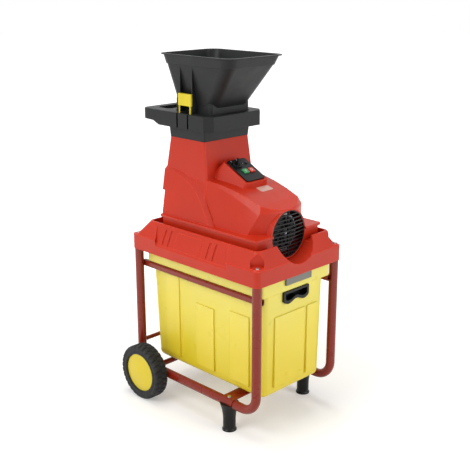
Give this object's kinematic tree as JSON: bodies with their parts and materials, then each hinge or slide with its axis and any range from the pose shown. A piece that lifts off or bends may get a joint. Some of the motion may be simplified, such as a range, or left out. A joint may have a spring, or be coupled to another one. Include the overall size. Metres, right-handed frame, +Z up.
{
  "type": "wood chipper",
  "caption": "Electric garden shredder: square feed hopper over a roller cutting unit and motor, on a wheeled tube frame with a slide-out collection box.",
  "frame": {"origin": "middle of the footprint, at floor level", "axes": "+Z up, -Y the front with the motor grille and the box handle, +Y the rear with the wheels, +X the side with the cutting adjuster"},
  "size_m": [0.426, 0.5057, 0.9835],
  "materials": {
    "body_red": "satin moulded plastic",
    "frame_red": "gloss powder coat",
    "box_yellow": "smooth, slightly cloudy moulded plastic",
    "hub_yellow": "smooth moulded plastic",
    "rim_black": "moulded plastic",
    "tyre_black": "solid rubber",
    "black_textured": "fine textured moulded plastic",
    "black_plastic": "moulded plastic",
    "grey_plastic": "moulded plastic",
    "green_plastic": "moulded plastic",
    "red_plastic": "moulded plastic",
    "reset_black": "moulded plastic",
    "zinc_steel": "zinc plated",
    "tool_steel": "ground steel",
    "cast_aluminium": "die cast",
    "stator_iron": "laminated core"
  },
  "bodies": {
    "root": {"axle": "zinc_steel", "axle_clips": "zinc_steel", "axle_sleeve": "frame_red", "axle_washers": "zinc_steel", "collar": "black_textured", "control_panel": "black_plastic", "cutter_chamber": "cast_aluminium", "deck": "body_red", "deck_screws": "zinc_steel", "foot_bolts": "zinc_steel", "foot_left": "black_plastic", "foot_right": "black_plastic", "frame_side_left": "frame_red", "frame_side_right": "frame_red", "front_strap": "frame_red", "gearbox_case": "cast_aluminium", "gearbox_cover": "zinc_steel", "grille": "black_plastic", "housing": "body_red", "motor_bearings": "zinc_steel", "motor_end_bells": "cast_aluminium", "motor_saddles": "zinc_steel", "motor_stator": "stator_iron", "rear_cover": "black_plastic", "rear_cover_screws": "zinc_steel", "rear_cross_tube": "frame_red", "roller_bearings": "zinc_steel", "safety_switch": "black_plastic", "slide_rail_left": "frame_red", "slide_rail_right": "frame_red", "switch_block": "black_plastic"},
    "wheel_left": {"tyre_left": "tyre_black", "rim_left": "rim_black", "hub_cap_left": "hub_yellow"},
    "wheel_right": {"tyre_right": "tyre_black", "rim_right": "rim_black", "hub_cap_right": "hub_yellow"},
    "hopper_body": {"hopper": "black_textured"},
    "latch_body": {"latch": "hub_yellow"},
    "box_body": {"collection_box": "box_yellow", "box_handle": "black_plastic"},
    "lock_body": {"lock_slider": "grey_plastic"},
    "start_body": {"start_button": "green_plastic"},
    "stop_body": {"stop_button": "red_plastic"},
    "reset_body": {"reset_button": "reset_black"},
    "dial_body": {"direction_knob": "black_plastic"},
    "roller_body": {"cutting_roller": "tool_steel", "roller_shaft": "tool_steel", "output_gear": "tool_steel"},
    "idler_body": {"intermediate_gear": "tool_steel"},
    "rotor_body": {"motor_rotor": "tool_steel", "cooling_fan": "rim_black", "motor_pinion": "tool_steel"},
    "plate_body": {"counter_plate": "tool_steel"},
    "adjuster_body": {"adjuster_knob": "black_plastic"}
  },
  "joints": [
    {"name": "wheel_left_spin", "type": "hinge", "parent": "root", "child": "wheel_left", "pos_m": [-0.191, 0.1724, 0.0805], "axis": [1, 0, 0], "continuous": true},
    {"name": "wheel_right_spin", "type": "hinge", "parent": "root", "child": "wheel_right", "pos_m": [0.191, 0.1724, 0.0805], "axis": [1, 0, 0], "continuous": true},
    {"name": "hopper_lift", "type": "slide", "parent": "root", "child": "hopper_body", "axis": [0, 0, 1], "range_m": [0, 0.12]},
    {"name": "latch_slide", "type": "slide", "parent": "hopper_body", "child": "latch_body", "axis": [0, 0, 1], "range_m": [0, 0.022]},
    {"name": "box_slide", "type": "slide", "parent": "root", "child": "box_body", "axis": [0, -1, 0], "range_m": [0, 0.46]},
    {"name": "lock_slide", "type": "slide", "parent": "box_body", "child": "lock_body", "axis": [0, 0, 1], "range_m": [0, 0.01]},
    {"name": "start_press", "type": "slide", "parent": "root", "child": "start_body", "axis": [0, 0.4617, -0.887], "range_m": [0, 0.003], "stiffness_N_per_m": 600, "springref_m": -0.0005},
    {"name": "stop_press", "type": "slide", "parent": "root", "child": "stop_body", "axis": [0, 0.4617, -0.887], "range_m": [0, 0.003], "stiffness_N_per_m": 600, "springref_m": -0.0005},
    {"name": "reset_press", "type": "slide", "parent": "root", "child": "reset_body", "axis": [0, 0.4617, -0.887], "range_m": [0, 0.002], "stiffness_N_per_m": 600, "springref_m": -0.0005},
    {"name": "direction_turn", "type": "hinge", "parent": "root", "child": "dial_body", "pos_m": [-0.012, -0.02671, 0.69158], "axis": [0, -0.4617, 0.887], "range_deg": [-60, 60]},
    {"name": "roller_spin", "type": "hinge", "parent": "root", "child": "roller_body", "pos_m": [-0.012, 0.09, 0.596], "axis": [0, 1, 0], "continuous": true},
    {"name": "idler_spin", "type": "hinge", "parent": "root", "child": "idler_body", "pos_m": [0.02874, -0.035, 0.57062], "axis": [0, 1, 0], "continuous": true},
    {"name": "rotor_spin", "type": "hinge", "parent": "root", "child": "rotor_body", "pos_m": [0, -0.12, 0.536], "axis": [0, 1, 0], "continuous": true},
    {"name": "adjuster_turn", "type": "hinge", "parent": "root", "child": "adjuster_body", "pos_m": [0.1, 0.09, 0.596], "axis": [1, 0, 0], "range_deg": [0, 1080]},
    {"name": "plate_slide", "type": "slide", "parent": "root", "child": "plate_body", "axis": [1, 0, 0], "range_m": [0, 0.0045]}
  ],
  "couplings": [
    {"joint": "idler_spin", "follows": "roller_spin", "ratio": -3},
    {"joint": "rotor_spin", "follows": "roller_spin", "ratio": 15},
    {"joint": "adjuster_turn", "follows": "plate_slide", "rad_per_m": 4188.8}
  ]
}
